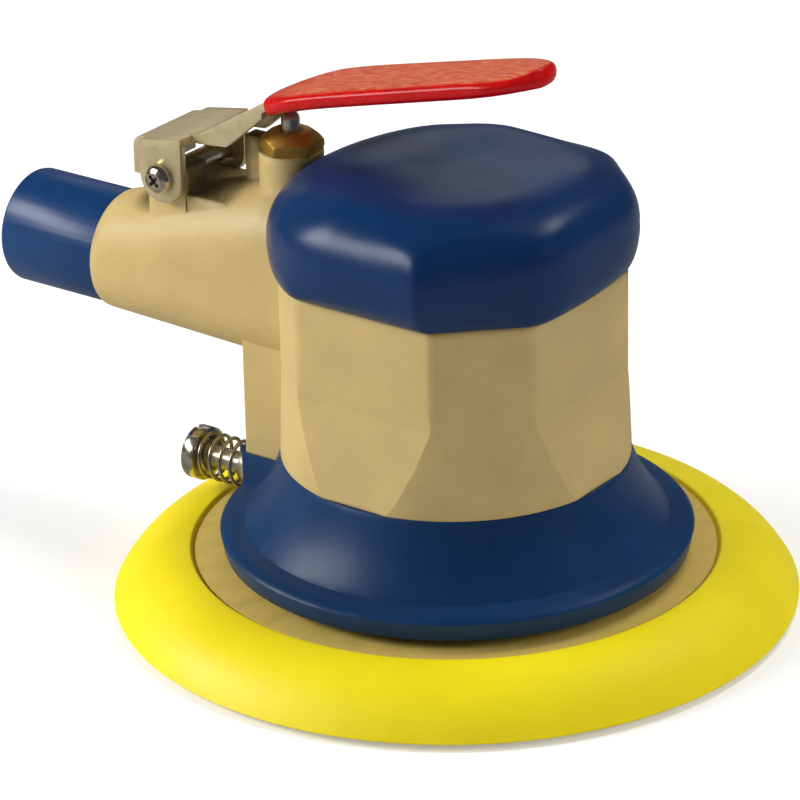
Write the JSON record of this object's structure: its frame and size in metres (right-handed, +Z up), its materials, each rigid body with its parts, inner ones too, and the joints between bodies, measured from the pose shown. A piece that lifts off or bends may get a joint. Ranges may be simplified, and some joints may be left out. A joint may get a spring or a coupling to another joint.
{
  "type": "orbital sander",
  "caption": "Palm-held air orbital sander: round foam pad under a flared skirt, angled barrel with a rubber cap, rear handle, sprung throttle lever and a pad lock pin.",
  "frame": {"origin": "where the motor axis meets the sanding face, the pad's lowest plane", "axes": "+Z up along the motor axis, -X along the handle towards the air inlet, Y across the tool"},
  "size_m": [0.1925, 0.1524, 0.1292],
  "materials": {
    "tan_housing": "satin",
    "blue_rubber": "satin",
    "blue_shroud": "satin",
    "blue_hose": "satin",
    "red_vinyl": "gloss",
    "lever_steel": "satin",
    "steel": "satin",
    "bright_steel": "gloss",
    "bearing_steel": "gloss",
    "spring_steel": "satin",
    "brass": "satin",
    "rotor_steel": "satin",
    "counterweight_iron": "matte",
    "end_plate_iron": "matte",
    "vane_laminate": "matte",
    "yellow_foam": "matte",
    "facing": "matte",
    "plate_board": "matte",
    "black_rubber": "matte",
    "muffler_felt": "matte"
  },
  "bodies": {
    "housing": {"lower_bearing_outer": "bearing_steel", "upper_bearing_outer": "bearing_steel", "lock_ring": "steel", "lower_end_plate": "end_plate_iron", "cylinder_liner": "end_plate_iron", "upper_end_plate": "end_plate_iron", "dowel": "steel", "housing": "tan_housing", "grip_cap": "blue_rubber", "shroud": "blue_shroud", "exhaust_sleeve": "blue_hose", "muffler": "muffler_felt", "inlet_bushing": "steel", "valve_seat": "brass", "valve_spring": "spring_steel", "valve_cap": "brass", "valve_seal": "black_rubber", "pivot_screw": "bright_steel", "pivot_nut": "steel", "pin_bushing": "steel", "lock_spring": "spring_steel"},
    "crank": {"balancer_shaft": "counterweight_iron", "rotor": "rotor_steel", "rotor_key": "steel", "vane_1": "vane_laminate", "vane_2": "vane_laminate", "vane_3": "vane_laminate", "vane_4": "vane_laminate", "vane_5": "vane_laminate", "shaft_clip": "spring_steel", "lower_bearing_inner": "bearing_steel", "upper_bearing_inner": "bearing_steel", "lower_bearing_balls": "bearing_steel", "upper_bearing_balls": "bearing_steel", "bearing_ring": "spring_steel", "spindle_bearing_outer": "bearing_steel"},
    "pad": {"pad_face": "facing", "pad_foam": "yellow_foam", "pad_plate": "plate_board", "pad_hub": "steel", "pad_rivets": "bright_steel", "spindle": "steel", "spindle_clip": "spring_steel", "spindle_bearing_inner": "bearing_steel", "spindle_bearing_balls": "bearing_steel"},
    "valve": {"valve_stem": "steel", "valve_disc": "black_rubber"},
    "lever": {"lever": "lever_steel", "lever_sleeve": "red_vinyl"},
    "lock": {"lock_pin": "steel", "lock_knob": "bright_steel", "lock_clip": "spring_steel"}
  },
  "joints": [
    {"name": "lever_hinge", "type": "hinge", "parent": "housing", "child": "lever", "pos_m": [-0.0705, 0, 0.0881], "axis": [0, 1, 0], "range_deg": [0, 5], "stiffness_Nm_per_rad": 0.8, "springref_deg": -28.65},
    {"name": "valve_slide", "type": "slide", "parent": "housing", "child": "valve", "axis": [0, 0, -1], "range_m": [0, 0.0036], "deforming": ["valve_spring"]},
    {"name": "motor_spin", "type": "hinge", "parent": "housing", "child": "crank", "pos_m": [0, 0, 0.05], "axis": [0, 0, 1], "continuous": true},
    {"name": "pad_spin", "type": "hinge", "parent": "crank", "child": "pad", "pos_m": [-0.00168, 0.00168, 0.02], "axis": [0, 0, 1], "continuous": true},
    {"name": "lock_slide", "type": "slide", "parent": "housing", "child": "lock", "axis": [1, 0, 0], "range_m": [0, 0.0063], "stiffness_N_per_m": 300, "springref_m": -0.01, "deforming": ["lock_spring"]}
  ],
  "couplings": [
    {"joint": "valve_slide", "follows": "lever_hinge", "m_per_rad": 0.0375}
  ]
}
